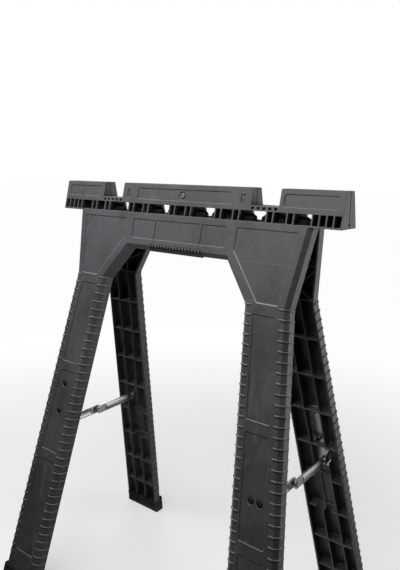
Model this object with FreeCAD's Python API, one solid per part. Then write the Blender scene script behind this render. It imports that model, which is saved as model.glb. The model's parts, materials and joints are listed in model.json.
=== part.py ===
import FreeCAD, Part
import math
import os

# Folding sawhorse: two equal open-backed plastic frames hinged under the top rail, with a
# folding steel brace inside the legs of each end. +X runs along the rail, -Y is the front,
# +Z is up, and the origin is on the ground under the middle of the rail.
# Sizes are in millimetres and degrees.

# Driving sizes
HEIGHT = 750.0
RAIL_LENGTH = 560.0
LEAN = 12.9                 # of each frame from the vertical
TOP_HALF = 11.8             # middle plane to outer face at the very top
TIMBER = 48.0               # notch width, for nominal two-inch timber
NOTCH_DEPTH = 26.0
NOTCH_INNER = 132.5         # middle of the rail to the near side of a notch
HINGE_DROP = 46.0           # hinge line below the top
WALL = 3.0
RIB = 2.3
BEVEL = 6.2
INNER_BEVEL = 4.4           # of the open channel behind the skin
RECESS = 1.3
RECESS_CORNER = 2.5
PARTING = 0.9              # bevel along the blocks' inner edges

# Worked out from the driving sizes
TILT = math.radians(LEAN)
GAP = 0.15                  # between a rail half and the middle plane
RIM_GAP = 0.33              # between a rim and the middle plane when folded
HINGE_DEPTH = TOP_HALF * math.cos(TILT) + HINGE_DROP * math.sin(TILT)
RIM = HINGE_DEPTH - RIM_GAP
NOTCH_OUTER = NOTCH_INNER + TIMBER
RAIL_END = RAIL_LENGTH / 2
NOTCH_SKIN = 2.2

# Heights in the rail, as drops below the top
DECK_TOP = 31.7
DECK_BOTTOM = 33.6
BAND_BOTTOM = 49.3
RAIL_BOTTOM = 51.6
PANEL_TOP = 50.6            # down the face

# Hinge
GROUPS = (-184.0, -92.0, 0.0, 92.0, 184.0)
HUB_R = 7.2
HUB_HALF = 34.5             # half length of a pair of knuckles
HUB_SPLIT = 1.0             # half the space between the two knuckles
HUB_CLEAR = 0.7
PIN_R = 2.5
PIN_PLAY = 0.05
CAP_R = 6.9                 # blunt pin heads and push-on caps
CAP_TIP_R = 3.4
CAP = 6.2
CAP_BORE = 4.0
PIN_ROOM = 13.0             # free length beyond each pair of knuckles
WEB_OFFSETS = (-22.1, -11.2, 11.2, 22.1)
CELL_START = 234.6
CELL_PITCH = 10.76

# Panel and legs, as half widths and distances down the face
PANEL_TOP_HALF = 236.4
SHOULDER = 168.4
SHOULDER_HALF = 219.9
LEG_OUT_SLOPE = 0.122
LEG_IN_SLOPE = 0.105
ARCH_TOP = 110.4
ARCH_TOP_HALF = 102.6
ARCH_FOOT = 170.2
ARCH_FOOT_HALF = 145.8
LEG_RUN = 800.0             # beyond the ground, cut off level
LONG_RIB_INSETS = (24.0, 51.5)
CROSS_RIB_START = 165.6
CROSS_RIB_PITCH = 65.7
CROSS_RIB_COUNT = 9
RIB_SINK = 1.8              # rib edge below the rim

# Ladder ribs on the leg edges
LADDER_START = 170.7
LADDER_PITCH = 14.56
LADDER_COUNT = 38
LADDER_REACH = 8.0
LADDER_PROUD = 1.5
LADDER_THICK = 2.2

# Grip under the beam
GRIP_TEETH = 17
GRIP_PITCH = 6.4
GRIP_TOOTH = 3.4

# Folding braces
PIVOT_RUN = 455.0           # pivot, down the face
PIVOT_DEPTH = 18.4
LINK_THICK = 3.0
LINK_HALF = 8.0
EYE_R = 2.55
RIVET_R = 2.5
RIVET_HEAD_R = 4.6
RIVET_HEAD = 1.4
LINK_A = 221.7              # near side of the link that sits further out
LINK_B = 215.3              # near side of the link that sits further in
EAR = 2.4
EAR_GAP = 0.3
HEAD_GAP = 0.1
PLATE = 2.0
SCREW_R = 2.4
SCREW_HEAD_R = 4.6
KNEE_GAP = 0.3

# Rail stiffeners
STIFF_DEPTH = 5.0
STIFF_THICK = 2.0
STIFF_TOP = 9.0
STIFF_BOTTOM = 25.0
STIFF_HALF = 124.0
WINDOW = (114.0, 122.0)
RAIL_SCREW_RUN = 17.8

# Feet
SOLE = 6.0
BOOT = 2.6
BOOT_RUN = 737.0


def box(x0, x1, y0, y1, z0, z1):
    corner = FreeCAD.Vector(x0, y0, z0)
    return Part.makeBox(x1 - x0, y1 - y0, z1 - z0, corner)


def face_of(points):
    return Part.Face(Part.makePolygon(points + points[:1]))


def plate(outline, near, far):
    """A flat piece in face coordinates: outline points are (x, run down the face)."""
    points = [FreeCAD.Vector(x, near, -run) for x, run in outline]
    return face_of(points).extrude(FreeCAD.Vector(0, far - near, 0))


def bar(section, x0, x1):
    """A bar along X whose section points are (y, z)."""
    points = [FreeCAD.Vector(x0, y, z) for y, z in section]
    return face_of(points).extrude(FreeCAD.Vector(x1 - x0, 0, 0))


def rod(x0, x1, y, z, radius):
    """A round bar along X."""
    start = FreeCAD.Vector(x0, y, z)
    return Part.makeCylinder(radius, x1 - x0, start, FreeCAD.Vector(1, 0, 0))


def stud(x, run, near, far, radius):
    """A round bar square to the face."""
    start = FreeCAD.Vector(x, near, -run)
    return Part.makeCylinder(radius, far - near, start, FreeCAD.Vector(0, 1, 0))


def lean(shape):
    """From face coordinates to the front frame's place, with the rail's top at zero."""
    placed = shape.copy()
    placed.rotate(FreeCAD.Vector(0, 0, 0), FreeCAD.Vector(1, 0, 0), -LEAN)
    placed.translate(FreeCAD.Vector(0, -TOP_HALF, 0))
    return placed


def turned(shape):
    """The same piece on the other frame: half a turn about Z."""
    other = shape.copy()
    other.rotate(FreeCAD.Vector(0, 0, 0), FreeCAD.Vector(0, 0, 1), 180)
    return other


def face_y(z, depth=0.0):
    """Y of the surface at this depth under the front face, at a height below the top."""
    return -(TOP_HALF - z * math.tan(TILT)) + depth / math.cos(TILT)


def shifted(outline, distance):
    """A closed outline with each side moved outward, for points listed clockwise in (x, run)."""
    lines = []
    count = len(outline)
    for index in range(count):
        x0, r0 = outline[index]
        x1, r1 = outline[(index + 1) % count]
        length = math.hypot(x1 - x0, r1 - r0)
        nx, nr = (r1 - r0) / length, -(x1 - x0) / length
        lines.append((nx, nr, nx * x0 + nr * r0 + distance))
    corners = []
    for index in range(count):
        a0, b0, c0 = lines[index - 1]
        a1, b1, c1 = lines[index]
        det = a0 * b1 - a1 * b0
        corners.append(((c0 * b1 - c1 * b0) / det, (a0 * c1 - a1 * c0) / det))
    return corners


def mirrored(outline):
    return [(-x, run) for x, run in reversed(outline)]


def leg_out(run):
    return SHOULDER_HALF + LEG_OUT_SLOPE * (run - SHOULDER)


def leg_in(run):
    return ARCH_FOOT_HALF + LEG_IN_SLOPE * (run - ARCH_FOOT)


def panel_outline():
    """Clockwise from the top left, as seen from the front."""
    right = [
        (PANEL_TOP_HALF, PANEL_TOP),
        (SHOULDER_HALF, SHOULDER),
        (leg_out(LEG_RUN), LEG_RUN),
        (leg_in(LEG_RUN), LEG_RUN),
        (ARCH_FOOT_HALF, ARCH_FOOT),
        (ARCH_TOP_HALF, ARCH_TOP),
    ]
    return right + mirrored(right)


def leg_outline(top):
    """One right-hand leg below a level."""
    return [
        (leg_out(top), top),
        (leg_out(LEG_RUN), LEG_RUN),
        (leg_in(LEG_RUN), LEG_RUN),
        (leg_in(top), top),
    ]


def bevelled(outline, near, far, bevel, top):
    """A plate whose near edges are bevelled, except the edge along the given top."""
    solid = plate(outline, near, far)
    edges = []
    for edge in solid.Edges:
        ends = [vertex.Point for vertex in edge.Vertexes]
        at_face = all(abs(point.y - near) < 1e-6 for point in ends)
        at_top = all(abs(point.z + top) < 1e-6 for point in ends)
        if at_face and not at_top:
            edges.append(edge)
    return solid.makeChamfer(bevel, edges)


def cavity():
    """The open space behind the panel's skin, inside its flanges."""
    inner = shifted(panel_outline(), -WALL)
    return bevelled(inner, WALL, RIM + 1, INNER_BEVEL, PANEL_TOP + WALL)


def web(x0, run0, x1, run1, far=RIM - RIB_SINK, thick=RIB):
    """A straight rib behind the skin between two points of the face."""
    length = math.hypot(x1 - x0, run1 - run0)
    nx, nr = (run1 - run0) / length * thick / 2, -(x1 - x0) / length * thick / 2
    outline = [
        (x0 + nx, run0 + nr),
        (x1 + nx, run1 + nr),
        (x1 - nx, run1 - nr),
        (x0 - nx, run0 - nr),
    ]
    return plate(outline, WALL - 0.5, far)


def leg_webs():
    """Long and cross ribs of the right leg."""
    webs = []
    end = BOOT_RUN + 2
    for inset in LONG_RIB_INSETS:
        top = 100.0
        webs.append(web(leg_out(top) - inset, top, leg_out(end) - inset, end))
    for index in range(CROSS_RIB_COUNT):
        run = CROSS_RIB_START + index * CROSS_RIB_PITCH
        if run < BOOT_RUN:
            webs.append(web(leg_in(run) - 2, run, leg_out(run) + 2, run))
    return webs


def gusset_webs():
    """Stiffening ribs of the right shoulder."""
    lines = [
        (143.0, 52.0, 106.0, 103.0),
        (182.0, 52.0, 227.5, 110.4),
        (100.0, ARCH_TOP - 1.5, 232.0, ARCH_TOP - 1.5),
        (226.0, 114.0, 194.0, 144.0),
        (194.0, 144.0, 217.0, 166.0),
        (108.0, 119.0, 164.0, 142.0),
    ]
    return [web(*line) for line in lines]


def beam_webs():
    return [web(x, PANEL_TOP + 1, x, ARCH_TOP - 1) for x in (0.0, 49.0, 99.0)]


def brace_pocket():
    """Space for the brace between the long ribs, in face coordinates, right leg."""
    deep = [(205.0, 433.0), (232.0, 433.0), (234.0, 566.0), (205.0, 566.0)]
    pocket = plate(deep, 5.4, RIM + 2)
    foot = plate([(197.0, 432.0), (232.0, 432.0), (232.0, 480.0), (197.0, 480.0)], WALL, 5.4)
    return pocket.fuse(foot)


def long_plate_pocket():
    """Space on the left leg for the plate that reaches up to its second screw."""
    return plate([(-219.0, 360.0), (-193.0, 360.0), (-193.0, 436.0), (-219.0, 436.0)], WALL, 9.5)


def webs():
    """All ribs behind the skin, kept clear of the braces."""
    right = leg_webs() + gusset_webs() + beam_webs()
    ribs = right[0].multiFuse(right[1:]).cut(brace_pocket())
    both = [ribs, ribs.mirror(FreeCAD.Vector(0, 0, 0), FreeCAD.Vector(1, 0, 0))]
    both[1] = both[1].cut(long_plate_pocket())
    inside = cavity()
    return [rib.common(inside.copy()) for rib in both]


def recess_outlines():
    """Shallow panels sunk into the outer face."""
    right = [
        [(49.0, 61.0), (97.5, 61.0), (97.5, 93.5), (49.0, 93.5)],
        [(114.5, 61.0), (218.0, 61.0), (203.5, 166.5), (167.0, 166.5), (114.5, 95.0)],
    ]
    for top, bottom in ((183.0, 332.0), (349.0, 500.0), (518.0, 700.0)):
        right.append([
            (leg_in(top) + 17.5, top),
            (leg_out(top) - 20.5, top),
            (leg_out(bottom) - 20.5, bottom),
            (leg_in(bottom) + 17.5, bottom),
        ])
    middle = [[(-47.0, 61.0), (47.0, 61.0), (47.0, 93.5), (-47.0, 93.5)]]
    return middle + right + [mirrored(outline) for outline in right]


def rounded(outline, near, far, radius):
    solid = plate(outline, near, far)
    corners = [edge for edge in solid.Edges if abs(edge.tangentAt(0).y) > 0.9]
    return solid.makeFillet(radius, corners)


def rounded_plate(x0, x1, run0, run1, near, far, radius):
    return rounded([(x0, run0), (x1, run0), (x1, run1), (x0, run1)], near, far, radius)


def rail_recesses():
    """Sunk fields on the rail's blocks, windows for the stiffener and small holes."""
    cuts = [rounded_plate(-98.0, 98.0, 8.0, 26.8, -1, RECESS, 3.0)]
    for side in (-1, 1):
        ends = sorted((side * 187.0, side * 270.5))
        cuts.append(rounded_plate(ends[0], ends[1], 7.5, 26.2, -1, RECESS, 3.0))
        ends = sorted((side * WINDOW[0], side * WINDOW[1]))
        cuts.append(rounded_plate(ends[0], ends[1], 10.5, 23.5, -1, WALL + 1, 1.5))
        for step in range(5):
            x = side * (136.5 + step * 9.8)
            corners = [(x - 2.5, 28.4), (x + 2.5, 28.4), (x + 2.5, 32.6), (x - 2.5, 32.6)]
            cuts.append(plate(corners, -1, WALL + 1))
    return cuts


def ladder_rib(run, edge_x, direction):
    """One rib that wraps a leg edge from face to flange. Direction is +1 on an outer edge."""
    profile = [
        (-BEVEL - LADDER_REACH, 0.5),
        (-BEVEL - LADDER_REACH, -0.1),
        (-BEVEL - LADDER_REACH + 1.2, -LADDER_PROUD),
        (-BEVEL - 0.2, -LADDER_PROUD),
        (LADDER_PROUD, BEVEL + 0.2),
        (LADDER_PROUD, RIM - 1.6),
        (0.1, RIM - 0.6),
        (-1.2, RIM - 0.6),
        (-1.2, BEVEL + 1.2),
        (-BEVEL - 0.6, 1.2),
    ]
    top = -run + LADDER_THICK / 2
    points = [FreeCAD.Vector(edge_x + direction * x, y, top) for x, y in profile]
    return face_of(points).extrude(FreeCAD.Vector(0, 0, -LADDER_THICK))


def ladder_ribs():
    ribs = []
    for index in range(LADDER_COUNT):
        run = LADDER_START + index * LADDER_PITCH
        for side in (-1, 1):
            ribs.append(ladder_rib(run, side * leg_out(run), side))
            ribs.append(ladder_rib(run, side * leg_in(run), -side))
    return ribs


def grip_teeth():
    """Teeth across the beam's lower bevel, for the fingers."""
    low = ARCH_TOP
    face = low - BEVEL
    section = [
        (0.5, face - 3.6), (-2.0, face - 2.0), (-2.0, face + 0.8), (BEVEL - 1.1, low + 2.2),
        (12.0, low + 2.2), (14.0, low - 0.5), (BEVEL + 1, low - 1.0), (1.5, face + 0.5),
    ]
    teeth = []
    for index in range(GRIP_TEETH):
        x = (index - (GRIP_TEETH - 1) / 2) * GRIP_PITCH
        points = [(y, -run) for y, run in section]
        teeth.append(bar(points, x - GRIP_TOOTH / 2, x + GRIP_TOOTH / 2))
    return teeth


def panel():
    """Panel and legs of one frame, in face coordinates."""
    shell = bevelled(panel_outline(), 0, RIM, BEVEL, PANEL_TOP)
    shell = shell.cut(cavity())
    recesses = [rounded(outline, -1, RECESS, RECESS_CORNER) for outline in recess_outlines()]
    shell = shell.cut(Part.makeCompound(recesses))
    return shell.multiFuse(webs() + ladder_ribs() + grip_teeth())


def rail_section(top, bottom, depth=0.0, back=-GAP):
    """Section of the rail between two heights, from a depth under the face to the back."""
    return [
        (face_y(top, depth), top),
        (back, top),
        (back, bottom),
        (face_y(bottom, depth), bottom),
    ]


def rail_cells():
    """Hollows of the rail's blocks, open to the back, with webs left between them."""
    cells = []
    spans = [(-NOTCH_INNER, NOTCH_INNER, 9)]
    for side in (-1, 1):
        spans.append((*sorted((side * NOTCH_OUTER, side * RAIL_END)), 3))
    for low, high, count in spans:
        inner = high - low - 2 * WALL
        width = (inner - (count - 1) * RIB) / count
        for index in range(count):
            x = low + WALL + index * (width + RIB)
            cells.append(bar(rail_section(-WALL, -DECK_TOP, WALL, 1.0), x, x + width))
    for side in (-1, 1):
        low, high = sorted((side * NOTCH_INNER, side * NOTCH_OUTER))
        section = rail_section(-NOTCH_DEPTH - NOTCH_SKIN, -DECK_TOP, WALL, -WALL)
        cells.append(bar(section, low, high))
    return cells


def band_webs():
    """Middles of the thin webs across the open band, from end to end."""
    places = [group + offset for group in GROUPS for offset in WEB_OFFSETS]
    for side in (-1, 1):
        places += [side * (CELL_START + step * CELL_PITCH) for step in range(4)]
        places.append(side * (RAIL_END - RIB / 2))
    return sorted(places)


def band_openings():
    places = band_webs()
    openings = []
    for left, right in zip(places, places[1:]):
        back = -WALL if abs(left + right) / 2 > CELL_START else 1.0
        section = [(-60.0, -DECK_BOTTOM), (back, -DECK_BOTTOM), (back, -BAND_BOTTOM),
                   (-60.0, -BAND_BOTTOM)]
        openings.append(bar(section, left + RIB / 2, right - RIB / 2))
    return openings


def parting_bevels():
    """Bevels on the ends of the blocks where the two rail halves meet."""
    wedges = []
    for place in (NOTCH_INNER, NOTCH_OUTER, RAIL_END):
        away = -1 if place == NOTCH_OUTER else 1
        low = -RAIL_BOTTOM if place == RAIL_END else -NOTCH_DEPTH
        for side in (-1, 1):
            start = FreeCAD.Vector(side * place, 0, low - 1)
            corners = [start + FreeCAD.Vector(side * away, -GAP, 0)]
            corners.append(start + FreeCAD.Vector(-side * away * PARTING, 1, 0))
            corners.append(start + FreeCAD.Vector(-side * away * PARTING, -GAP, 0))
            corners.append(start + FreeCAD.Vector(0, -GAP - PARTING, 0))
            corners.append(start + FreeCAD.Vector(side * away, -GAP - PARTING, 0))
            wedges.append(face_of(corners).extrude(FreeCAD.Vector(0, 0, 1 - low + 1)))
    top = [(1.0, 1.0), (1.0, -PARTING), (-GAP, -PARTING), (-GAP - PARTING, 0.0), (-GAP - PARTING, 1.0)]
    wedges.append(bar(top, -RAIL_END - 1, RAIL_END + 1))
    return wedges


def rail():
    """Upper half rail with its blocks, deck and open band, top at zero."""
    edge = 1.0
    section = rail_section(0.0, -RAIL_BOTTOM)
    section[0] = (face_y(0) + edge, 0.0)
    section.append((face_y(-edge), -edge))
    solid = bar(section, -RAIL_END, RAIL_END)
    notches = []
    for side in (-1, 1):
        low, high = sorted((side * NOTCH_INNER, side * NOTCH_OUTER))
        notches.append(box(low, high, -40, 5, -NOTCH_DEPTH, 5))
    cuts = notches + rail_cells() + band_openings() + parting_bevels()
    solid = solid.cut(Part.makeCompound(cuts))
    solid = solid.cut(lean(Part.makeCompound(rail_recesses())))
    behind_rim = lean(box(-400, 400, RIM, RIM + 60, -200, 60))
    return solid.cut(behind_rim)


def hinge_cuts():
    """Room for the other frame's knuckles, the pin heads and the caps."""
    cuts = []
    for group in GROUPS:
        reach = group + HUB_HALF + PIN_ROOM
        cuts.append(rod(group + 0.5, reach, 0, -HINGE_DROP, HUB_R + HUB_CLEAR))
        reach = group - HUB_HALF - PIN_ROOM
        cuts.append(rod(reach, group - HUB_HALF, 0, -HINGE_DROP, CAP_R + HUB_CLEAR))
    return cuts


def knuckles():
    parts = []
    for group in GROUPS:
        parts.append(rod(group - HUB_HALF, group - HUB_SPLIT, 0, -HINGE_DROP, HUB_R))
    return parts


def screw_seat():
    """Pad behind the skin that carries the rail screw."""
    return stud(0, RAIL_SCREW_RUN, WALL - 0.5, STIFF_DEPTH, 9.0)


def fixing_holes():
    """Holes through the skin for the rail screw and the bracket screws, in face coordinates."""
    holes = [
        stud(0, RAIL_SCREW_RUN, -1, WALL, 7.1),
        stud(0, RAIL_SCREW_RUN, -1, STIFF_DEPTH + 1, SCREW_R + 0.1),
    ]
    for x, run in bracket_screws(-1) + bracket_screws(1):
        holes.append(stud(x, run, -1, WALL + 1, SCREW_R + 0.1))
        holes.append(stud(x, run, -1, RECESS + 0.6, SCREW_HEAD_R + 1.2))
    return holes


def stiffener_room():
    """Slot through the rail's webs for the stiffener, in face coordinates."""
    return plate([(-STIFF_HALF - 0.5, STIFF_TOP - 0.6), (STIFF_HALF + 0.5, STIFF_TOP - 0.6),
                  (STIFF_HALF + 0.5, STIFF_BOTTOM + 0.6), (-STIFF_HALF - 0.5, STIFF_BOTTOM + 0.6)],
                 STIFF_DEPTH, STIFF_DEPTH + STIFF_THICK + 0.3)


def frame():
    """One whole moulded frame, at the front, with the rail's top at zero."""
    body = rail().fuse(lean(panel()))
    body = body.fuse(lean(screw_seat()))
    body = body.cut(Part.makeCompound(hinge_cuts()))
    body = body.multiFuse(knuckles())
    holes = [rod(-RAIL_END, RAIL_END, 0, -HINGE_DROP, PIN_R + PIN_PLAY)]
    holes += [lean(hole) for hole in fixing_holes()]
    holes.append(lean(stiffener_room()))
    holes.append(box(-400, 400, -400, 400, -HEIGHT - 200, -HEIGHT + SOLE))
    body = body.cut(Part.makeCompound(holes))
    return body


def nose(near, far):
    """A cap at the hinge line that narrows to a rounded tip."""
    start = FreeCAD.Vector(near, 0, -HINGE_DROP)
    way = FreeCAD.Vector(far - near, 0, 0)
    cap = Part.makeCone(CAP_R, CAP_TIP_R, CAP, start, way)
    rim = [edge for edge in cap.Edges if abs(edge.CenterOfMass.x - far) < 1e-6]
    return cap.makeFillet(CAP_TIP_R * 0.75, rim)


def hinge_pins():
    pins = []
    for group in GROUPS:
        left = group - HUB_HALF - 0.2
        pin = rod(left - 0.1, group + HUB_HALF + CAP_BORE, 0, -HINGE_DROP, PIN_R)
        pins.append(pin.fuse(nose(left, left - CAP)))
    return Part.makeCompound(pins)


def hinge_pin_caps():
    """Blunt caps pushed on the pins' plain ends."""
    caps = []
    for group in GROUPS:
        left = group + HUB_HALF + 0.2
        bore = rod(left - 1, group + HUB_HALF + CAP_BORE, 0, -HINGE_DROP, PIN_R)
        caps.append(nose(left, left + CAP).cut(bore))
    return Part.makeCompound(caps)


def rail_stiffener():
    """Steel strip behind the middle block, with a tab in each window."""
    far = STIFF_DEPTH + STIFF_THICK
    strip = plate([(-STIFF_HALF, STIFF_TOP), (STIFF_HALF, STIFF_TOP),
                   (STIFF_HALF, STIFF_BOTTOM), (-STIFF_HALF, STIFF_BOTTOM)], STIFF_DEPTH, far)
    tabs = []
    for side in (-1, 1):
        low, high = sorted((side * (WINDOW[0] + 0.9), side * (WINDOW[1] - 0.9)))
        tabs.append(plate([(low, 11.4), (high, 11.4), (high, 22.6), (low, 22.6)],
                          RECESS - 0.6, STIFF_DEPTH + 0.5))
    strip = strip.multiFuse(tabs)
    return strip.cut(stud(0, RAIL_SCREW_RUN, 0, far + 1, SCREW_R + 0.05))


def cross_slot(x, run, head_top, size, depth):
    """Cross recess in a screw head, in face coordinates."""
    arm = 0.55
    across = plate([(x - size, run - arm), (x + size, run - arm), (x + size, run + arm),
                    (x - size, run + arm)], head_top - 1, head_top + depth)
    down = plate([(x - arm, run - size), (x + arm, run - size), (x + arm, run + size),
                  (x - arm, run + size)], head_top - 1, head_top + depth)
    return across.fuse(down)


def screw(x, run, seat, head, end):
    """Pan-headed screw that sits on a seat below the face."""
    cap = stud(x, run, seat - head, seat, SCREW_HEAD_R)
    rim = [edge for edge in cap.Edges if abs(edge.CenterOfMass.y - seat + head) < 1e-6]
    cap = cap.makeFillet(head * 0.55, rim)
    body = cap.fuse(stud(x, run, seat - 0.5, end, SCREW_R))
    return body.cut(cross_slot(x, run, seat - head, 2.6, 1.1))


def rail_screw():
    return screw(0, RAIL_SCREW_RUN, WALL, 2.2, 12.5)


def bracket_screws(side):
    """Where the screws of one bracket go: the left leg's plate is the longer one."""
    if side < 0:
        return [(-205.8, 373.0), (-209.5, 424.0)]
    return [(208.0, 441.0), (222.0, 441.0)]


def bracket_screw_set():
    bodies = []
    for x, run in bracket_screws(-1) + bracket_screws(1):
        bodies.append(screw(x, run, RECESS + 0.6, 2.0, 10.2))
    return Part.makeCompound(bodies)


def bracket_nuts():
    nuts = []
    near = WALL + PLATE
    for x, run in bracket_screws(-1) + bracket_screws(1):
        corners = []
        for step in range(6):
            turn = math.radians(60 * step)
            corners.append((x + 4.9 * math.cos(turn), run + 4.9 * math.sin(turn)))
        nut = plate(corners, near, near + 4.0)
        nuts.append(nut.cut(stud(x, run, 0, 20, SCREW_R)))
    return Part.makeCompound(nuts)


def link_side(side):
    """Near side of this frame's link on one leg: the left leg carries the outer one."""
    return LINK_A if side < 0 else LINK_B


def signed_rod(side, low, high, radius):
    """A round bar at the brace pivot between two distances from the middle of the rail."""
    x0, x1 = sorted((side * low, side * high))
    return rod(x0, x1, PIVOT_DEPTH, -PIVOT_RUN, radius)


def ear_span(side):
    """The bracket's ear stands outside the outer link and inside the inner one."""
    near = link_side(side)
    if side < 0:
        low = near + LINK_THICK + EAR_GAP
        return low, low + EAR
    return near - EAR_GAP - EAR, near - EAR_GAP


def bracket(side):
    """Steel plate on the skin with one ear for a brace link, in face coordinates."""
    low, high = ear_span(side)
    if side < 0:
        outline = [(-217.5, 433.5), (-214.0, 362.0), (-194.5, 362.0), (-201.5, 433.5),
                   (-208.0, 476.0), (-228.5, 476.0), (-228.5, 445.0)]
        base = plate(outline, WALL, WALL + PLATE)
    else:
        base = plate([(202.5, 434.5), (228.0, 434.5), (229.0, 476.0), (207.5, 476.0)],
                     WALL, WALL + PLATE)
    x0, x1 = sorted((side * low, side * high))
    stem = box(x0, x1, WALL + 0.5, PIVOT_DEPTH, -PIVOT_RUN - 7.5, -PIVOT_RUN + 7.5)
    shape = base.multiFuse([stem, rod(x0, x1, PIVOT_DEPTH, -PIVOT_RUN, 7.5)])
    holes = [rod(x0 - 1, x1 + 1, PIVOT_DEPTH, -PIVOT_RUN, EYE_R)]
    holes += [stud(x, run, 0, 20, SCREW_R + 0.05) for x, run in bracket_screws(side)]
    return shape.cut(Part.makeCompound(holes))


def pivot_rivet(side):
    """Rivet through ear and link, headed on both sides."""
    low, high = ear_span(side)
    near = link_side(side)
    far = near + LINK_THICK
    if side < 0:
        inner = near - HEAD_GAP
        outer = high
    else:
        inner = low
        outer = far + HEAD_GAP
    shank = signed_rod(side, inner - 0.2, outer + 0.2, RIVET_R)
    heads = [signed_rod(side, inner - RIVET_HEAD, inner, RIVET_HEAD_R),
             signed_rod(side, outer, outer + RIVET_HEAD, RIVET_HEAD_R)]
    return shank.multiFuse(heads)


def pivot_point():
    """The front pivot's Y and height below the top."""
    y = face_y(0) - PIVOT_RUN * math.sin(TILT) + PIVOT_DEPTH * math.cos(TILT)
    z = -PIVOT_RUN * math.cos(TILT) - PIVOT_DEPTH * math.sin(TILT)
    return y, z


def link(side):
    """Front link of one end: a flat bar from its bracket to the knee on the middle plane."""
    y, z = pivot_point()
    near = link_side(side)
    x0, x1 = sorted((side * near, side * (near + LINK_THICK)))
    shape = box(x0, x1, y, 0, z - LINK_HALF, z + LINK_HALF)
    shape = shape.multiFuse([rod(x0, x1, y, z, LINK_HALF), rod(x0, x1, 0, z, LINK_HALF)])
    eyes = [rod(x0 - 1, x1 + 1, y, z, EYE_R), rod(x0 - 1, x1 + 1, 0, z, EYE_R)]
    return shape.cut(Part.makeCompound(eyes))


def knee_bar(side, low, high, radius):
    x0, x1 = sorted((side * low, side * high))
    return rod(x0, x1, 0, pivot_point()[1], radius)


def knee_rivet():
    """Head, shank and spacing collar at the knee, on the outer link of the left end."""
    outer = LINK_A + LINK_THICK
    inner = LINK_B + LINK_THICK + KNEE_GAP
    head = knee_bar(-1, outer + HEAD_GAP, outer + HEAD_GAP + RIVET_HEAD, RIVET_HEAD_R)
    shank = knee_bar(-1, LINK_A - 0.2, outer + HEAD_GAP + 0.2, RIVET_R)
    collar = knee_bar(-1, inner, LINK_A - HEAD_GAP, RIVET_HEAD_R)
    return head.multiFuse([shank, collar])


def knee_tail():
    """The rivet's other end, on the inner link of the left end."""
    low = LINK_B - HEAD_GAP
    head = knee_bar(-1, low - RIVET_HEAD, low, RIVET_HEAD_R)
    return head.fuse(knee_bar(-1, low - 0.2, LINK_B + LINK_THICK, RIVET_R))


def foot():
    """Rubber boot on the front right leg: sole, collar round the outside and inner plug."""
    leg = leg_outline(BOOT_RUN - 40)
    outer = plate(shifted(leg, BOOT), -BOOT, RIM)
    outer = outer.cut(box(-400, 400, -5, 60, -BOOT_RUN, 0))
    solid_leg = bevelled(leg, 0, RIM + 5, BEVEL, BOOT_RUN - 40)
    over = box(-400, 400, -400, 400, -HEIGHT + SOLE, 0)
    inset = WALL + 0.1
    plug = shifted(leg, -inset)
    plug = bevelled(plug, inset, RIM - 1, INNER_BEVEL, BOOT_RUN - 40 + inset)
    level = box(-400, 400, -400, 400, -HEIGHT + SOLE, -HEIGHT + SOLE + 12)
    hollow = lean(solid_leg).common(over)
    shape = lean(outer).cut(hollow).fuse(lean(plug).common(level))
    below = box(-400, 400, -400, 400, -HEIGHT - 200, -HEIGHT)
    grooves = []
    for step in range(-1, 2):
        y = -HEIGHT * math.sin(TILT) / math.cos(TILT) + step * 6
        grooves.append(box(-400, 400, y - 1, y + 1, -HEIGHT - 1, -HEIGHT + 1.5))
    return shape.cut(Part.makeCompound([below] + grooves))


def flipped(shape):
    """The same piece on the front frame's other leg."""
    return shape.mirror(FreeCAD.Vector(0, 0, 0), FreeCAD.Vector(1, 0, 0))


def save(name, shape):
    lifted = shape.copy()
    lifted.translate(FreeCAD.Vector(0, 0, HEIGHT))
    lifted.exportStep(os.path.join("parts", name + ".step"))
    print(name, len(lifted.Solids), round(lifted.Volume / 1000, 2), "cm3", lifted.isValid())


def save_pair(front_name, rear_name, shape):
    save(front_name, shape)
    save(rear_name, turned(shape))


os.makedirs("parts", exist_ok=True)

save_pair("front_frame", "rear_frame", frame())
save("hinge_pins", hinge_pins())
save("hinge_pin_caps", hinge_pin_caps())
save_pair("front_rail_stiffener", "rear_rail_stiffener", lean(rail_stiffener()))
save_pair("front_rail_screw", "rear_rail_screw", lean(rail_screw()))
save_pair("front_left_bracket", "rear_right_bracket", lean(bracket(-1)))
save_pair("front_right_bracket", "rear_left_bracket", lean(bracket(1)))
save_pair("front_bracket_screws", "rear_bracket_screws", lean(bracket_screw_set()))
save_pair("front_bracket_nuts", "rear_bracket_nuts", lean(bracket_nuts()))
rivets = Part.makeCompound([pivot_rivet(-1), pivot_rivet(1)])
save_pair("front_pivot_rivets", "rear_pivot_rivets", lean(rivets))
save_pair("left_front_link", "right_rear_link", link(-1))
save_pair("right_front_link", "left_rear_link", link(1))
save_pair("left_knee_rivet", "right_knee_rivet", knee_rivet())
save_pair("left_knee_tail", "right_knee_tail", knee_tail())
save_pair("front_right_foot", "rear_left_foot", foot())
save_pair("front_left_foot", "rear_right_foot", flipped(foot()))
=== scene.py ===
import json
import math

import bmesh
import bpy
from mathutils import Matrix, Vector


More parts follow.
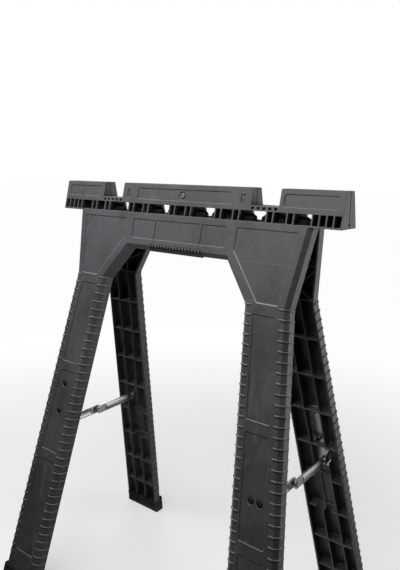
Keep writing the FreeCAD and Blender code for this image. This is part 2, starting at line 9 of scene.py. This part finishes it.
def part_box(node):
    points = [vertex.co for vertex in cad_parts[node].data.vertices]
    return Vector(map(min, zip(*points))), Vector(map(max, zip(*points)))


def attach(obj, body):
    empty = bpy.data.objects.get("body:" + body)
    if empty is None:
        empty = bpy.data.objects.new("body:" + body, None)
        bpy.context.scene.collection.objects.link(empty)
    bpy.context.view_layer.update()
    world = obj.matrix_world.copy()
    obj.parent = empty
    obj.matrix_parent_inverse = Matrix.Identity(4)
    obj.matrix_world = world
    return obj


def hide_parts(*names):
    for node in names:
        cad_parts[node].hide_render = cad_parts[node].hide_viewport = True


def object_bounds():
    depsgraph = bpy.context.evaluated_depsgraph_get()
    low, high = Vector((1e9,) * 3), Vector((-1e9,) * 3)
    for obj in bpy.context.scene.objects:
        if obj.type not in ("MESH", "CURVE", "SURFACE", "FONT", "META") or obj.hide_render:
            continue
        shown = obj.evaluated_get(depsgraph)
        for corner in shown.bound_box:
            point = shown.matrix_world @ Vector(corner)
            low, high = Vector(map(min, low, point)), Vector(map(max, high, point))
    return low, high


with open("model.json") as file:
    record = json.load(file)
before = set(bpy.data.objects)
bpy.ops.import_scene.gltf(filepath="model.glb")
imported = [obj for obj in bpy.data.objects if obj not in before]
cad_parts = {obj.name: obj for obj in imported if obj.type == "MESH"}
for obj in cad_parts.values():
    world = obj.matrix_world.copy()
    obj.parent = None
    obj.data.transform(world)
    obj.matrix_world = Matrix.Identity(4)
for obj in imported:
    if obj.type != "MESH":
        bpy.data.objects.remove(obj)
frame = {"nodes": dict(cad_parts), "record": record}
cad_low, cad_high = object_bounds()

# The frames' own measures, in metres. Runs go down the leaning face from the top, depths
# go in from the face, and halves go out from the middle plane or the middle of the rail.
HEIGHT = cad_high.z
TOP_HALF = 0.0118
LEAN = math.radians(12.9)
RIM = 0.0214
BAND_TOP = 0.0335           # the open hinge band, below the top
BAND_BOTTOM = 0.04935
BAND_HALF = 0.27725
GRIP_TOP = 0.1000           # the toothed finger grip under the beam
GRIP_BOTTOM = 0.1135
GRIP_HALF = 0.0550
LEG_START = 0.17            # where the smears on the legs begin
# A leg's outer and inner edge: its slope, and the run and the half where it starts.
OUTER_SLOPE, OUTER_START, OUTER_HALF = 0.122, 0.1684, 0.2199
INNER_SLOPE, INNER_START, INNER_HALF = 0.105, 0.1702, 0.1458


# ---------------------------------------------------------------- shader writing


class Wire:
    """A socket or a number in a material's tree, which takes Python's operators."""

    def __init__(self, tree, value):
        self.tree = tree
        self.value = value

    def node(self, kind, settings=None, inputs=None, output=0):
        made = self.tree.nodes.new(kind)
        for name, setting in (settings or {}).items():
            setattr(made, name, setting)
        for name, given in (inputs or {}).items():
            given = given.value if isinstance(given, Wire) else given
            if isinstance(given, bpy.types.NodeSocket):
                self.tree.links.new(given, made.inputs[name])
            else:
                made.inputs[name].default_value = given
        return Wire(self.tree, made.outputs[output])

    def math(self, operation, *others, clamp=False):
        given = {index: other for index, other in enumerate((self, *others))}
        return self.node("ShaderNodeMath", {"operation": operation, "use_clamp": clamp}, given)

    def __add__(self, other):
        return self.math("ADD", other)

    def __sub__(self, other):
        return self.math("SUBTRACT", other)

    def __mul__(self, other):
        return self.math("MULTIPLY", other)

    def __truediv__(self, other):
        return self.math("DIVIDE", other)

    def __neg__(self):
        return self.math("MULTIPLY", -1.0)

    def __radd__(self, other):
        return Wire(self.tree, other).math("ADD", self)

    def __rsub__(self, other):
        return Wire(self.tree, other).math("SUBTRACT", self)

    def __rmul__(self, other):
        return Wire(self.tree, other).math("MULTIPLY", self)

    def abs(self):
        return self.math("ABSOLUTE")

    def ramp(self, low, high):
        """0 below low, 1 above high, smooth between; low may be the larger."""
        if low > high:
            return 1.0 - self.ramp(high, low)
        settings = {"interpolation_type": "SMOOTHSTEP"}
        inputs = {"Value": self, "From Min": low, "From Max": high}
        return self.node("ShaderNodeMapRange", settings, inputs)

    def inside(self, limit, soft):
        """1 below the limit and 0 above it, with a soft edge centred on it."""
        return self.ramp(limit + soft / 2, limit - soft / 2)

    def tint(self, first, second):
        """A colour mix with this as its mask; its sockets share names, so they go by number."""
        inputs = {0: self, 6: first, 7: second}
        return self.node("ShaderNodeMix", {"data_type": "RGBA"}, inputs, output=2)


class Finish:
    """One material with a Principled shader and the handy sources of its patterns."""

    def __init__(self, name, constants):
        self.material = bpy.data.materials.new(name)
        self.material.use_nodes = True
        self.tree = self.material.node_tree
        self.shader = self.tree.nodes["Principled BSDF"]
        for socket, value in constants.items():
            self.shader.inputs[socket].default_value = value
        self.start = Wire(self.tree, 0.0)
        self.place = self.start.node("ShaderNodeTexCoord", output=3)

    def split(self, vector):
        made = self.tree.nodes.new("ShaderNodeSeparateXYZ")
        self.tree.links.new(vector.value, made.inputs[0])
        return [Wire(self.tree, socket) for socket in made.outputs]

    def axes(self):
        return self.split(self.place)

    def noise(self, scale, detail=2.0, rough=0.5, stretch=None):
        vector = self.place
        if stretch:
            vector = self.start.node("ShaderNodeMapping", {}, {"Vector": vector, "Scale": stretch})
        inputs = {"Vector": vector, "Scale": scale, "Detail": detail, "Roughness": rough}
        return self.start.node("ShaderNodeTexNoise", {}, inputs)

    def soft_normal(self, radius):
        return self.start.node("ShaderNodeBevel", {"samples": 6}, {"Radius": radius})

    def edge_mask(self, soft, low, high):
        """1 where the softened normal leaves the true one, so on edges."""
        true = self.start.node("ShaderNodeNewGeometry", output=1)
        settings = {"operation": "DOT_PRODUCT"}
        inputs = {0: soft, 1: true}
        dot = self.start.node("ShaderNodeVectorMath", settings, inputs, output=1)
        return (1.0 - dot).ramp(low, high)

    def bump(self, height, distance, normal=None, strength=1.0):
        inputs = {"Height": height, "Distance": distance, "Strength": strength}
        if normal is not None:
            inputs["Normal"] = normal
        return self.start.node("ShaderNodeBump", {}, inputs)

    def feed(self, socket, wire):
        self.tree.links.new(wire.value, self.shader.inputs[socket])


def rgb(level, warm=0.0):
    return (level * (1 + warm), level, level * (1 - warm), 1.0)


# Ribs behind the panel's skin that show as faint sink lines on its face, as
# (half width, run) to (half width, run) in metres.
SINK_LINES = (
    (0.000, 0.1096, 0.236, 0.1096),
    (0.142, 0.052, 0.106, 0.104),
    (0.182, 0.052, 0.2275, 0.1104),
    (0.226, 0.114, 0.194, 0.144),
    (0.194, 0.144, 0.217, 0.166),
    (0.108, 0.119, 0.164, 0.142),
    (0.000, 0.1650, 0.236, 0.1650),
)


# Lower edges of the shoulder panels, painted bright as a highlight of the light from above.
HIGHLIGHT_LINES = (
    (0.1150, 0.0962, 0.1674, 0.1668),
    (0.1674, 0.1668, 0.2020, 0.1668),
)


def drawn_lines(lines, x, run, half_width):
    """1 along the given lines, 0 between them."""
    total = None
    for x0, run0, x1, run1 in lines:
        length = math.hypot(x1 - x0, run1 - run0)
        ux, ur = (x1 - x0) / length, (run1 - run0) / length
        along = (x - x0) * ux + (run - run0) * ur
        across = (x - x0) * ur - (run - run0) * ux
        line = across.abs().ramp(half_width, 0.0002)
        line = line * along.ramp(-0.002, 0.002) * along.ramp(length + 0.002, length - 0.002)
        total = line if total is None else total.math("MAXIMUM", line)
    return total


def frame_plastic(name, turned):
    """Charcoal moulded plastic: fine spark texture, flow marks, rib sink marks, painted edge
    highlights and painted shade in the hinge band and grip gaps.
    """
    finish = Finish(name, {"Specular IOR Level": 0.5})
    x, y, z = finish.axes()
    if turned:
        x, y = -x, -y
    run = (y + TOP_HALF) * -math.sin(LEAN) - (z - HEIGHT) * math.cos(LEAN)
    depth = (y + TOP_HALF) * math.cos(LEAN) - (z - HEIGHT) * math.sin(LEAN)
    skin = depth.ramp(0.0022, 0.0012)
    soft = finish.soft_normal(0.0011)
    edge = finish.edge_mask(soft, 0.015, 0.20)
    rising = finish.split(soft)[2].ramp(0.15, 0.75)
    grain = finish.noise(2400.0, 2.0, 0.6)
    patch = finish.noise(9.0, 3.0, 0.55)
    flow = finish.noise(24.0, 4.0, 0.62, (1.0, 1.0, 0.22))
    cloud = finish.noise(70.0, 4.0, 0.6)
    scuff = finish.noise(190.0, 5.0, 0.74, (1.0, 1.0, 0.30)).ramp(0.61, 0.76)
    line = drawn_lines(SINK_LINES, x.abs(), run, 0.0017) * skin
    # painted highlight along the lower panel edges, brighter on the +x side
    lower_edge_highlight = drawn_lines(HIGHLIGHT_LINES, x.abs(), run, 0.0013) * skin
    lower_edge_highlight = lower_edge_highlight * (0.35 + 0.65 * x.ramp(-0.01, 0.01))
    drop = HEIGHT - z
    # painted shade: near black inside the open hinge band, rougher there too
    shade = depth.ramp(0.003, 0.006) * x.abs().inside(BAND_HALF, 0.0005)
    shade = shade * drop.ramp(BAND_TOP - 0.0005, BAND_TOP + 0.0005)
    shade = shade * drop.inside(BAND_BOTTOM, 0.0007)
    # painted shade: near black between the grip teeth under the beam
    tooth_gap_shade = depth.ramp(-0.0009, -0.0002) * run.ramp(GRIP_TOP - 0.0005, GRIP_TOP + 0.0005)
    tooth_gap_shade = tooth_gap_shade * run.inside(GRIP_BOTTOM, 0.001) * x.abs().inside(GRIP_HALF, 0.001) * skin
    smear = finish.noise(34.0, 5.0, 0.68, (1.9, 1.0, 0.10)).ramp(0.52, 0.68)
    smear = smear * run.ramp(LEG_START, LEG_START + 0.07) * skin
    level = 0.45 * patch + 0.25 * flow + 0.30 * cloud
    base = level.ramp(0.41, 0.59).tint((0.060, 0.061, 0.065, 1), (0.098, 0.100, 0.108, 1))
    base = (grain.ramp(0.40, 0.70) * 0.30).tint(base, (0.130, 0.132, 0.138, 1))
    # painted highlight: edges are lighter, most of all where they face up into the light from
    # above
    base = (edge * (0.25 + 0.75 * rising)).tint(base, (0.500, 0.505, 0.520, 1))
    base = (scuff * 0.20).tint(base, (0.220, 0.222, 0.228, 1))
    base = (smear * 0.34).tint(base, (0.200, 0.203, 0.210, 1))
    base = (line * 0.15).tint(base, (0.210, 0.213, 0.220, 1))
    # painted highlight on the lower panel edges
    base = (lower_edge_highlight * 0.70).tint(base, (0.480, 0.485, 0.500, 1))
    # painted shade between the grip teeth
    base = (tooth_gap_shade * 0.85).tint(base, (0.014, 0.014, 0.015, 1))
    base = (shade * 0.93).tint(base, (0.006, 0.006, 0.006, 1))
    finish.feed("Base Color", base)
    rough = 0.42 + 0.12 * patch + 0.12 * flow + 0.05 * grain - 0.12 * edge - 0.08 * scuff
    rough = rough + 0.40 * shade
    finish.feed("Roughness", rough)
    height = grain * 0.10 + flow * 0.25 + cloud * 0.12 + line * 0.10
    finish.feed("Normal", finish.bump(height, 0.0010, soft, 0.8))
    return finish.material


def plated_steel(name):
    """Zinc-plated strip: rolled streaks, bright edges, a faint yellow-blue passivation."""
    finish = Finish(name, {"Metallic": 1.0})
    streak = finish.noise(240.0, 4.0, 0.6, (1.0, 0.08, 1.0))
    bloom = finish.noise(34.0, 3.0, 0.6)
    soft = finish.soft_normal(0.0004)
    edge = finish.edge_mask(soft, 0.02, 0.25)
    base = bloom.ramp(0.35, 0.7).tint((0.46, 0.47, 0.48, 1), (0.56, 0.54, 0.48, 1))
    base = (streak.ramp(0.4, 0.75) * 0.5).tint(base, (0.36, 0.37, 0.38, 1))
    base = (edge * 0.6).tint(base, (0.75, 0.75, 0.74, 1))
    finish.feed("Base Color", base)
    finish.feed("Roughness", 0.30 + 0.16 * streak + 0.10 * bloom)
    finish.feed("Normal", finish.bump(streak, 0.00025, soft, 0.5))
    return finish.material


def black_oxide(name):
    """Blackened screw steel, worn to metal round the driver slot."""
    finish = Finish(name, {"Metallic": 0.85})
    soft = finish.soft_normal(0.0003)
    edge = finish.edge_mask(soft, 0.02, 0.3)
    spots = finish.noise(420.0, 3.0, 0.6)
    base = spots.ramp(0.35, 0.7).tint(rgb(0.030), rgb(0.060))
    base = (edge * 0.75).tint(base, rgb(0.34, 0.01))
    finish.feed("Base Color", base)
    finish.feed("Roughness", 0.34 + 0.16 * spots)
    finish.feed("Normal", finish.bump(spots, 0.0002, soft, 0.4))
    return finish.material


def foot_rubber(name):
    """Matt black rubber with a dusty bloom and a stippled skin."""
    finish = Finish(name, {"Specular IOR Level": 0.3})
    z = finish.axes()[2]
    soft = finish.soft_normal(0.0008)
    stipple = finish.noise(1500.0, 2.0, 0.5)
    bloom = finish.noise(26.0, 4.0, 0.62)
    dust = z.ramp(0.022, 0.0) * bloom.ramp(0.35, 0.65)
    base = bloom.ramp(0.3, 0.75).tint(rgb(0.016), rgb(0.032))
    base = (dust * 0.5).tint(base, (0.16, 0.15, 0.135, 1))
    finish.feed("Base Color", base)
    finish.feed("Roughness", 0.66 + 0.16 * bloom + 0.08 * stipple)
    finish.feed("Normal", finish.bump(stipple * 0.5 + bloom * 0.5, 0.0006, soft, 0.6))
    return finish.material


def powder_coat(name):
    """Charcoal powder coat with its orange-peel skin."""
    finish = Finish(name, {"Specular IOR Level": 0.5})
    soft = finish.soft_normal(0.0004)
    peel = finish.noise(900.0, 2.0, 0.5)
    patch = finish.noise(40.0, 3.0, 0.5)
    base = patch.ramp(0.35, 0.65).tint(rgb(0.055), rgb(0.075))
    finish.feed("Base Color", base)
    finish.feed("Roughness", 0.40 + 0.12 * patch + 0.08 * peel)
    finish.feed("Normal", finish.bump(peel, 0.0003, soft, 0.6))
    return finish.material


def dull_steel(name):
    """Dull zinc on the rail screws, with a cloudy tone and lighter edges."""
    finish = Finish(name, {"Metallic": 0.9})
    soft = finish.soft_normal(0.0004)
    edge = finish.edge_mask(soft, 0.02, 0.3)
    bloom = finish.noise(300.0, 3.0, 0.6)
    base = bloom.ramp(0.35, 0.7).tint(rgb(0.16), rgb(0.26))
    base = (edge * 0.6).tint(base, rgb(0.50))
    finish.feed("Base Color", base)
    finish.feed("Roughness", 0.40 + 0.16 * bloom)
    finish.feed("Normal", finish.bump(bloom, 0.0002, soft, 0.4))
    return finish.material


def cap_plastic(name):
    """Black satin plastic with faint moulding swirls."""
    finish = Finish(name, {"Specular IOR Level": 0.3})
    soft = finish.soft_normal(0.0005)
    swirl = finish.noise(160.0, 3.0, 0.55)
    base = swirl.ramp(0.35, 0.7).tint(rgb(0.010), rgb(0.022))
    finish.feed("Base Color", base)
    finish.feed("Roughness", 0.42 + 0.14 * swirl)
    finish.feed("Normal", finish.bump(swirl, 0.0003, soft, 0.4))
    return finish.material


def dress(nodes, finish):
    for name in nodes:
        mesh = frame["nodes"][name].data
        mesh.materials.clear()
        mesh.materials.append(finish)


slots = {row["node"]: row["material_slot"] for row in frame["record"]["subparts"]}
by_slot = {}
for node_name, slot_name in slots.items():
    by_slot.setdefault(slot_name, []).append(node_name)

dress(["front_frame"], frame_plastic("charcoal_moulding_front", False))
dress(["rear_frame"], frame_plastic("charcoal_moulding_rear", True))
dress(by_slot["black_screw"], black_oxide("black_oxide_steel"))
dress(by_slot["coated_steel"], powder_coat("charcoal_powder_coat"))
dress(by_slot["black_cap"], cap_plastic("black_cap_plastic"))
dress(by_slot["dull_steel"], dull_steel("dull_zinc_screw"))
zinc = plated_steel("zinc_plated_steel")
rubber = foot_rubber("black_foot_rubber")
dress(by_slot["plated_steel"], zinc)
dress(by_slot["foot_rubber"], rubber)


# ---------------------------------------------------------------- modelling by hand


def start_block(name, low, high):
    """A block between two corners, open in edit mode, with nothing else selected."""
    bpy.ops.object.select_all(action="DESELECT")
    middle = [(a + b) / 2 for a, b in zip(low, high)]
    bpy.ops.mesh.primitive_cube_add(size=1.0, location=middle,
                                    scale=[b - a for a, b in zip(low, high)])
    bpy.ops.object.transform_apply(location=True, rotation=True, scale=True)
    piece = bpy.context.object
    piece.name = name
    piece.data.name = name
    bpy.ops.object.mode_set(mode="EDIT")
    return piece


def pick(kind, test):
    """Selects the faces, edges or corners that pass the test on their middle and direction."""
    bpy.ops.mesh.select_mode(type={"verts": "VERT", "edges": "EDGE", "faces": "FACE"}[kind])
    bpy.ops.mesh.select_all(action="DESELECT")
    mesh = bmesh.from_edit_mesh(bpy.context.edit_object.data)
    for part in getattr(mesh, kind):
        points = [part.co] if kind == "verts" else [corner.co for corner in part.verts]
        middle = sum(points, Vector()) / len(points)
        way = (points[1] - points[0]).normalized() if kind == "edges" else part.normal
        part.select_set(test(middle, way))
    mesh.select_flush_mode()
    bmesh.update_edit_mesh(bpy.context.edit_object.data)


def close_piece(piece, width, segments=2, angle=40.0):
    """Rounds every edge a little and smooths what is nearly flat."""
    bpy.ops.object.mode_set(mode="OBJECT")
    rounding = piece.modifiers.new("rounding", "BEVEL")
    rounding.width = width
    rounding.segments = segments
    rounding.limit_method = "ANGLE"
    rounding.angle_limit = math.radians(angle)
    bpy.ops.object.modifier_apply(modifier=rounding.name)
    bpy.ops.object.shade_smooth_by_angle(angle=math.radians(38))
    even = piece.modifiers.new("even_shading", "WEIGHTED_NORMAL")
    even.keep_sharp = True
    bpy.ops.object.modifier_apply(modifier=even.name)


def copy_turned(piece, name, mirror_x, mirror_y):
    """A copy with its own mesh on another leg, its walls still facing out."""
    bpy.ops.object.select_all(action="DESELECT")
    piece.select_set(True)
    bpy.context.view_layer.objects.active = piece
    bpy.ops.object.duplicate()
    other = bpy.context.object
    other.name = name
    other.data.name = name
    bpy.ops.object.mode_set(mode="EDIT")
    bpy.ops.mesh.select_all(action="SELECT")
    bpy.ops.transform.resize(value=(-1 if mirror_x else 1, -1 if mirror_y else 1, 1),
                             center_override=(0, 0, 0))
    if mirror_x != mirror_y:
        bpy.ops.mesh.flip_normals()
    bpy.ops.object.mode_set(mode="OBJECT")
    return other


def place_piece(piece, body, node, finish):
    piece.data.materials.clear()
    piece.data.materials.append(finish)
    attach(piece, body)
    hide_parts(node)


# ---------------------------------------------------------------- rubber boots

BOOT_TOP = 0.737            # down the face
BOOT_WALL = 0.0026
BOOT_BACK = RIM + 0.0002
GROOVE_TOP = 0.7435
GROOVE_PITCH = 0.0056
GROOVE_WIDTH = 0.0022
SOLE_BARS = 7
SOLE_GROOVE = 0.0016        # half width of a groove between two bars
SOLE_FRAME = 0.0045         # plain border in front of and behind the grooves


def leg_point(side, depth, run=None):
    """A point of the front right boot: side 1 is its outside and -1 its inside.

    Without a run it is the point on the ground.
    """
    if run is None:
        run = (HEIGHT - depth * math.sin(LEAN)) / math.cos(LEAN)
    if side > 0:
        x = OUTER_HALF + OUTER_SLOPE * (run - OUTER_START) + BOOT_WALL
    else:
        x = INNER_HALF + INNER_SLOPE * (run - INNER_START) - BOOT_WALL
    y = depth * math.cos(LEAN) - run * math.sin(LEAN) - TOP_HALF
    z = HEIGHT - run * math.cos(LEAN) - depth * math.sin(LEAN)
    return Vector((x, y, z))


def rubber_boot(name):
    """Moulded boot: leaning cup with a rolled lip, three finger grooves and a barred sole."""
    low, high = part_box("front_right_foot")
    middle = (low + high) / 2
    boot = start_block(name, low, high)
    for side in (-1, 1):
        for depth in (-BOOT_WALL, BOOT_BACK):
            for run in (BOOT_TOP, None):
                corner = Vector((high.x if side > 0 else low.x,
                                 low.y if depth < 0 else high.y,
                                 high.z if run else low.z))
                pick("verts", lambda at, way: (at - corner).length < 1e-5)
                bpy.ops.transform.translate(value=leg_point(side, depth, run) - corner)
    pick("edges", lambda at, way: abs(way.z) > 0.9 and at.y < middle.y)
    bpy.ops.mesh.bevel(offset=0.0062, segments=4, affect="EDGES")
    pick("edges", lambda at, way: abs(way.z) > 0.9 and at.y > middle.y + 0.004)
    bpy.ops.mesh.bevel(offset=0.0020, segments=2, affect="EDGES")
    down = Vector((0.0, -math.sin(LEAN), -math.cos(LEAN)))
    for step in range(3):
        for edge in (0.0, GROOVE_WIDTH):
            bpy.ops.mesh.select_all(action="SELECT")
            place = leg_point(1, 0.0, GROOVE_TOP + step * GROOVE_PITCH + edge)
            bpy.ops.mesh.bisect(plane_co=place, plane_no=down)
    for step in range(3):
        centre = leg_point(1, 0.0, GROOVE_TOP + step * GROOVE_PITCH + GROOVE_WIDTH / 2)
        pick("faces", lambda at, way: abs((at - centre).dot(down)) < 0.0008
             and abs(way.dot(down)) < 0.5)
        bpy.ops.mesh.inset(thickness=0.0, depth=-0.0009, use_boundary=True)
    pick("faces", lambda at, way: way.dot(down) < -0.9 and at.z > high.z - 0.006)
    bpy.ops.mesh.inset(thickness=0.0021)
    bpy.ops.mesh.extrude_region_move(TRANSFORM_OT_translate={"value": down * 0.016})
    pick("faces", lambda at, way: way.z < -0.98 and at.z < 0.002)
    bpy.ops.mesh.inset(thickness=0.0032)
    pitch = (high.x - low.x) / SOLE_BARS
    for step in range(1, SOLE_BARS):
        for side in (-SOLE_GROOVE, SOLE_GROOVE):
            bpy.ops.mesh.select_all(action="SELECT")
            place = (low.x + step * pitch + side, 0, 0)
            bpy.ops.mesh.bisect(plane_co=place, plane_no=(1, 0, 0))

    def in_groove(at, way):
        off = (at.x - low.x + pitch / 2) % pitch - pitch / 2
        inside = low.y + SOLE_FRAME < at.y < high.y - SOLE_FRAME
        return way.z < -0.98 and at.z < 0.002 and abs(off) < SOLE_GROOVE * 0.75 and inside

    pick("faces", in_groove)
    bpy.ops.mesh.extrude_region_move(TRANSFORM_OT_translate={"value": (0, 0, 0.0018)})
    close_piece(boot, 0.0005)
    return boot


# ---------------------------------------------------------------- brace bars

BEAD_DEPTH = 0.0009
BEAD_START = 0.024          # plain end round each rivet
BEAD_MARGIN = 0.0036


def brace_bar(name, node):
    """Flat steel link with round ends and a bead pressed along its middle."""
    low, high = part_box(node)
    bar = start_block(name, low, high)
    half = (high.z - low.z) / 2
    pick("edges", lambda at, way: abs(way.x) > 0.9)
    bpy.ops.mesh.bevel(offset=half * 0.985, segments=10, affect="EDGES")
    for y in (low.y + BEAD_START - 0.002, high.y - BEAD_START + 0.002):
        bpy.ops.mesh.select_all(action="SELECT")
        bpy.ops.mesh.bisect(plane_co=(0, y, 0), plane_no=(0, 1, 0))
    for way_x, push in ((1, -BEAD_DEPTH), (-1, BEAD_DEPTH)):
        pick("faces", lambda at, way: way.x * way_x > 0.9
             and low.y + BEAD_START < at.y < high.y - BEAD_START)
        bpy.ops.mesh.inset(thickness=BEAD_MARGIN)
        bpy.ops.mesh.extrude_region_move(
            TRANSFORM_OT_translate={"value": (way_x * push, 0, 0)})
        bpy.ops.transform.resize(value=(1, 0.97, 0.72))
    close_piece(bar, 0.0004)
    return bar


first_boot = rubber_boot("front_right_boot")
boots = (
    (first_boot, "front", "front_right_foot"),
    (copy_turned(first_boot, "front_left_boot", True, False), "front", "front_left_foot"),
    (copy_turned(first_boot, "rear_left_boot", True, True), "rear", "rear_left_foot"),
    (copy_turned(first_boot, "rear_right_boot", False, True), "rear", "rear_right_foot"),
)
for piece, body, node in boots:
    place_piece(piece, body, node, rubber)

outer_bar = brace_bar("left_front_brace_bar", "left_front_link")
inner_bar = brace_bar("right_front_brace_bar", "right_front_link")
bars = (
    (outer_bar, "left_front_brace", "left_front_link"),
    (inner_bar, "right_front_brace", "right_front_link"),
    (copy_turned(outer_bar, "right_rear_brace_bar", True, True), "right_rear_brace",
     "right_rear_link"),
    (copy_turned(inner_bar, "left_rear_brace_bar", True, True), "left_rear_brace",
     "left_rear_link"),
)
for piece, body, node in bars:
    place_piece(piece, body, node, zinc)


# ---------------------------------------------------------------- studio

AMBIENT = 0.012
BACKDROP_WAY = (-0.6, 0.8, 0.0)      # from the object to the lit white backdrop
LIGHTS = (
    ("overhead_softbox", (-0.15, -0.56, 1.20), (1.3, 0.35), 8.4),
    ("back_right_softbox", (1.25, 0.98, 0.42), (1.0, 0.9), 11.0),
    ("back_left_softbox", (-1.4, 1.3, 1.3), (0.9, 0.9), 6.0),
    ("bounce_from_below", (0.0, -0.35, -1.0), (1.2, 1.2), 4.5),
)


def studio_floor():
    bpy.ops.object.select_all(action="DESELECT")
    bpy.ops.mesh.primitive_plane_add(size=60.0, location=(0, 0, 0))
    floor = bpy.context.object
    floor.name = "studio_floor"
    paint = {"Roughness": 0.9, "Specular IOR Level": 0.1, "Emission Strength": 1.0}
    finish = Finish("pale_studio_floor", paint)
    x, y = finish.axes()[:2]
    away = (x * x + y * y).math("SQRT").ramp(0.35, 1.7)
    cloud = finish.noise(1.2, 3.0, 0.5)
    near = cloud.tint(rgb(0.70), rgb(0.74))
    finish.feed("Base Color", away.tint(near, rgb(0.10)))
    finish.feed("Emission Color", away.tint(rgb(0.50), rgb(0.965)))
    floor.data.materials.append(finish.material)
    floor.visible_diffuse = False
    floor.visible_glossy = False
    floor.visible_shadow = False


def soft_light(name, place, target, size, power):
    bpy.ops.object.light_add(type="AREA", location=place)
    light = bpy.context.object
    light.name = name
    light.data.shape = "RECTANGLE"
    light.data.size, light.data.size_y = size
    light.data.energy = power
    light.visible_camera = False
    aim = Vector(target) - Vector(place)
    light.rotation_euler = aim.to_track_quat("-Z", "Y").to_euler()
    return light


def studio():
    studio_floor()
    world = bpy.data.worlds.new("studio_white")
    bpy.context.scene.world = world
    world.use_nodes = True
    tree = world.node_tree
    seen = tree.nodes["Background"]
    lighting = tree.nodes.new("ShaderNodeBackground")
    for background, strength in ((seen, 1.0), (lighting, AMBIENT)):
        background.inputs["Color"].default_value = rgb(1.0)
        background.inputs["Strength"].default_value = strength
    start = Wire(tree, 0.0)
    by_camera = start.node("ShaderNodeLightPath", output="Is Camera Ray")
    by_gloss = start.node("ShaderNodeLightPath", output="Is Glossy Ray")
    way = start.node("ShaderNodeTexCoord", output="Generated")
    behind = start.node("ShaderNodeVectorMath", {"operation": "DOT_PRODUCT"},
                        {0: way, 1: BACKDROP_WAY}, output="Value")
    white = by_camera.math("MAXIMUM", by_gloss * behind.ramp(0.25, 0.85))
    mix = tree.nodes.new("ShaderNodeMixShader")
    tree.links.new(white.value, mix.inputs[0])
    tree.links.new(lighting.outputs[0], mix.inputs[1])
    tree.links.new(seen.outputs[0], mix.inputs[2])
    tree.links.new(mix.outputs[0], tree.nodes["World Output"].inputs[0])
    for name, place, size, power in LIGHTS:
        soft_light(name, place, (0, 0, 0.62), size, power)
    bpy.context.scene.view_settings.view_transform = "Standard"


CAMERA_PLACE = (0.5886, -0.7367, HEIGHT + 0.0199)
CAMERA_YAW, CAMERA_PITCH, CAMERA_ROLL = 0.6417, 0.1787, 0.0219
CAMERA_LENS = 36.10
CAMERA_SHIFT = (-0.00877193, -0.015789474)      # shares of the frame's longer side


def camera():
    """The view: 37 degrees round to the right, 10 degrees down, level with the rail."""
    bpy.ops.object.camera_add()
    taken = bpy.context.object
    taken.name = "view_camera"
    yaw, pitch, roll = CAMERA_YAW, CAMERA_PITCH, CAMERA_ROLL
    ahead = Vector((-math.sin(yaw) * math.cos(pitch), math.cos(yaw) * math.cos(pitch),
                    -math.sin(pitch)))
    level = Vector((math.cos(yaw), math.sin(yaw), 0.0))
    above = level.cross(ahead)
    right = level * math.cos(roll) + above * math.sin(roll)
    up = above * math.cos(roll) - level * math.sin(roll)
    turn = Matrix((right, up, -ahead)).transposed()
    taken.matrix_world = Matrix.Translation(CAMERA_PLACE) @ turn.to_4x4()
    taken.data.sensor_width = 36.0
    taken.data.lens = CAMERA_LENS
    taken.data.shift_x, taken.data.shift_y = CAMERA_SHIFT
    bpy.context.scene.camera = taken


studio()
camera()
